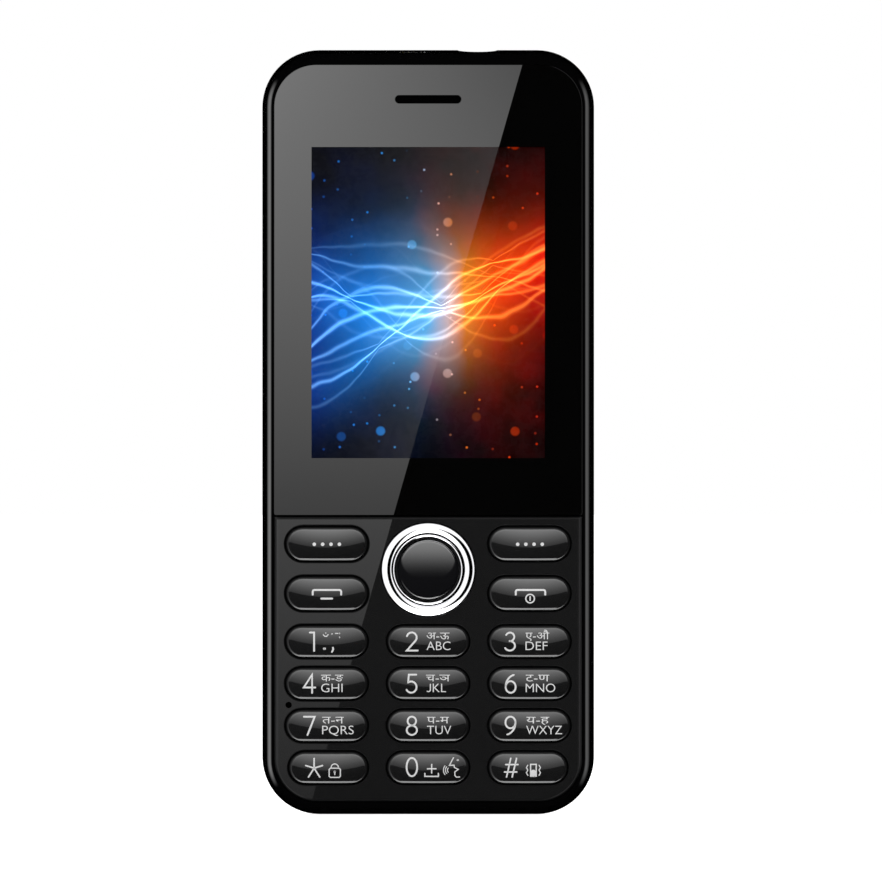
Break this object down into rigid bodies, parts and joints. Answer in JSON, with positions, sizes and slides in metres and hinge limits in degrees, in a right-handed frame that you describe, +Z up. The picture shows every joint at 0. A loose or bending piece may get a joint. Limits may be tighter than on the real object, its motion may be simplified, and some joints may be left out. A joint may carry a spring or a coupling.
{
  "type": "feature phone",
  "caption": "Bar-shaped feature phone with a display over a raised keypad, a bright four-way ring and a removable back.",
  "frame": {"origin": "middle of the bottom end that the phone stands on", "axes": "+Z up the phone's length, front and display towards -Y, +X to the right as seen from the front"},
  "size_m": [0.0522, 0.0134, 0.1204],
  "materials": {
    "housing": "gloss black moulding",
    "lens": "clear, polished",
    "panel": "gloss black",
    "mesh": "fine woven mesh",
    "receiver": "moulded",
    "lcd_frame": "pressed sheet",
    "display": "glass with a lit picture, emissive",
    "flex": "amber film",
    "web": "silicone",
    "sheet": "thin film",
    "domes": "pressed",
    "board": "solder mask",
    "microphone": "pressed can",
    "boot": "moulded",
    "shield": "tinned sheet",
    "socket": "pressed sheet",
    "contacts": "gold plated",
    "jack": "moulded",
    "connector": "pressed shell",
    "motor": "drawn can",
    "loudspeaker": "moulded",
    "camera": "moulded",
    "camera_window": "polished, dark edge",
    "torch_led": "moulded",
    "torch_lens": "clear",
    "antenna": "plated film",
    "frame": "fine texture",
    "screws": "black zinc",
    "battery": "film wrapped cell",
    "cover": "fine spark texture",
    "ring": "polished",
    "rocker": "moulded",
    "button": "gloss black",
    "key": "gloss black with pale legends"
  },
  "bodies": {
    "phone_body": {"front_housing": "housing", "display_lens": "lens", "keypad_panel": "panel", "earpiece_mesh": "mesh", "earpiece_receiver": "receiver", "lcd_frame": "lcd_frame", "display_panel": "display", "lcd_flex": "flex", "keypad_web": "web", "dome_sheet": "sheet", "metal_domes": "domes", "main_board": "board", "microphone": "microphone", "microphone_boot": "boot", "radio_shield": "shield", "processor_shield": "shield", "sim_socket_1": "socket", "sim_socket_2": "socket", "card_socket": "socket", "battery_contacts": "contacts", "audio_jack": "jack", "usb_connector": "connector", "vibration_motor": "motor", "loudspeaker": "loudspeaker", "camera_module": "camera", "torch_led": "torch_led", "torch_lens": "torch_lens", "antenna": "antenna", "rear_frame": "frame", "frame_screws": "screws"},
    "battery_cover": {"battery_cover": "cover", "camera_window": "camera_window", "speaker_mesh": "mesh"},
    "battery": {"battery": "battery"},
    "nav_rocker": {"nav_rocker": "rocker"},
    "nav_ring": {"nav_ring": "ring"},
    "nav_center": {"nav_center": "button"},
    "key_soft_left": {"key_soft_left": "key"},
    "key_soft_right": {"key_soft_right": "key"},
    "key_call": {"key_call": "key"},
    "key_end": {"key_end": "key"},
    "key_1": {"key_1": "key"},
    "key_2": {"key_2": "key"},
    "key_3": {"key_3": "key"},
    "key_4": {"key_4": "key"},
    "key_5": {"key_5": "key"},
    "key_6": {"key_6": "key"},
    "key_7": {"key_7": "key"},
    "key_8": {"key_8": "key"},
    "key_9": {"key_9": "key"},
    "key_star": {"key_star": "key"},
    "key_0": {"key_0": "key"},
    "key_hash": {"key_hash": "key"}
  },
  "joints": [
    {"name": "cover_off", "type": "slide", "parent": "phone_body", "child": "battery_cover", "axis": [0, 1, 0], "range_m": [0, 0.035]},
    {"name": "battery_out", "type": "slide", "parent": "phone_body", "child": "battery", "axis": [0, 1, 0], "range_m": [0, 0.016]},
    {"name": "nav_up_down", "type": "hinge", "parent": "phone_body", "child": "nav_rocker", "pos_m": [0, -0.0037, 0.03853], "axis": [1, 0, 0], "range_deg": [-2, 2], "stiffness_Nm_per_rad": 0.12},
    {"name": "nav_left_right", "type": "hinge", "parent": "nav_rocker", "child": "nav_ring", "pos_m": [0, -0.0037, 0.03853], "axis": [0, 0, 1], "range_deg": [-2, 2], "stiffness_Nm_per_rad": 0.12},
    {"name": "nav_center_press", "type": "slide", "parent": "phone_body", "child": "nav_center", "axis": [0, 1, 0], "range_m": [0, 0.0004], "stiffness_N_per_m": 2500},
    {"name": "key_soft_left_press", "type": "slide", "parent": "phone_body", "child": "key_soft_left", "axis": [0, 1, 0], "range_m": [0, 0.0004], "stiffness_N_per_m": 2500},
    {"name": "key_soft_right_press", "type": "slide", "parent": "phone_body", "child": "key_soft_right", "axis": [0, 1, 0], "range_m": [0, 0.0004], "stiffness_N_per_m": 2500},
    {"name": "key_call_press", "type": "slide", "parent": "phone_body", "child": "key_call", "axis": [0, 1, 0], "range_m": [0, 0.0004], "stiffness_N_per_m": 2500},
    {"name": "key_end_press", "type": "slide", "parent": "phone_body", "child": "key_end", "axis": [0, 1, 0], "range_m": [0, 0.0004], "stiffness_N_per_m": 2500},
    {"name": "key_1_press", "type": "slide", "parent": "phone_body", "child": "key_1", "axis": [0, 1, 0], "range_m": [0, 0.0004], "stiffness_N_per_m": 2500},
    {"name": "key_2_press", "type": "slide", "parent": "phone_body", "child": "key_2", "axis": [0, 1, 0], "range_m": [0, 0.0004], "stiffness_N_per_m": 2500},
    {"name": "key_3_press", "type": "slide", "parent": "phone_body", "child": "key_3", "axis": [0, 1, 0], "range_m": [0, 0.0004], "stiffness_N_per_m": 2500},
    {"name": "key_4_press", "type": "slide", "parent": "phone_body", "child": "key_4", "axis": [0, 1, 0], "range_m": [0, 0.0004], "stiffness_N_per_m": 2500},
    {"name": "key_5_press", "type": "slide", "parent": "phone_body", "child": "key_5", "axis": [0, 1, 0], "range_m": [0, 0.0004], "stiffness_N_per_m": 2500},
    {"name": "key_6_press", "type": "slide", "parent": "phone_body", "child": "key_6", "axis": [0, 1, 0], "range_m": [0, 0.0004], "stiffness_N_per_m": 2500},
    {"name": "key_7_press", "type": "slide", "parent": "phone_body", "child": "key_7", "axis": [0, 1, 0], "range_m": [0, 0.0004], "stiffness_N_per_m": 2500},
    {"name": "key_8_press", "type": "slide", "parent": "phone_body", "child": "key_8", "axis": [0, 1, 0], "range_m": [0, 0.0004], "stiffness_N_per_m": 2500},
    {"name": "key_9_press", "type": "slide", "parent": "phone_body", "child": "key_9", "axis": [0, 1, 0], "range_m": [0, 0.0004], "stiffness_N_per_m": 2500},
    {"name": "key_star_press", "type": "slide", "parent": "phone_body", "child": "key_star", "axis": [0, 1, 0], "range_m": [0, 0.0004], "stiffness_N_per_m": 2500},
    {"name": "key_0_press", "type": "slide", "parent": "phone_body", "child": "key_0", "axis": [0, 1, 0], "range_m": [0, 0.0004], "stiffness_N_per_m": 2500},
    {"name": "key_hash_press", "type": "slide", "parent": "phone_body", "child": "key_hash", "axis": [0, 1, 0], "range_m": [0, 0.0004], "stiffness_N_per_m": 2500}
  ],
  "couplings": [
    {"joint": "battery_out", "follows": "cover_off", "ratio": 0.45}
  ]
}
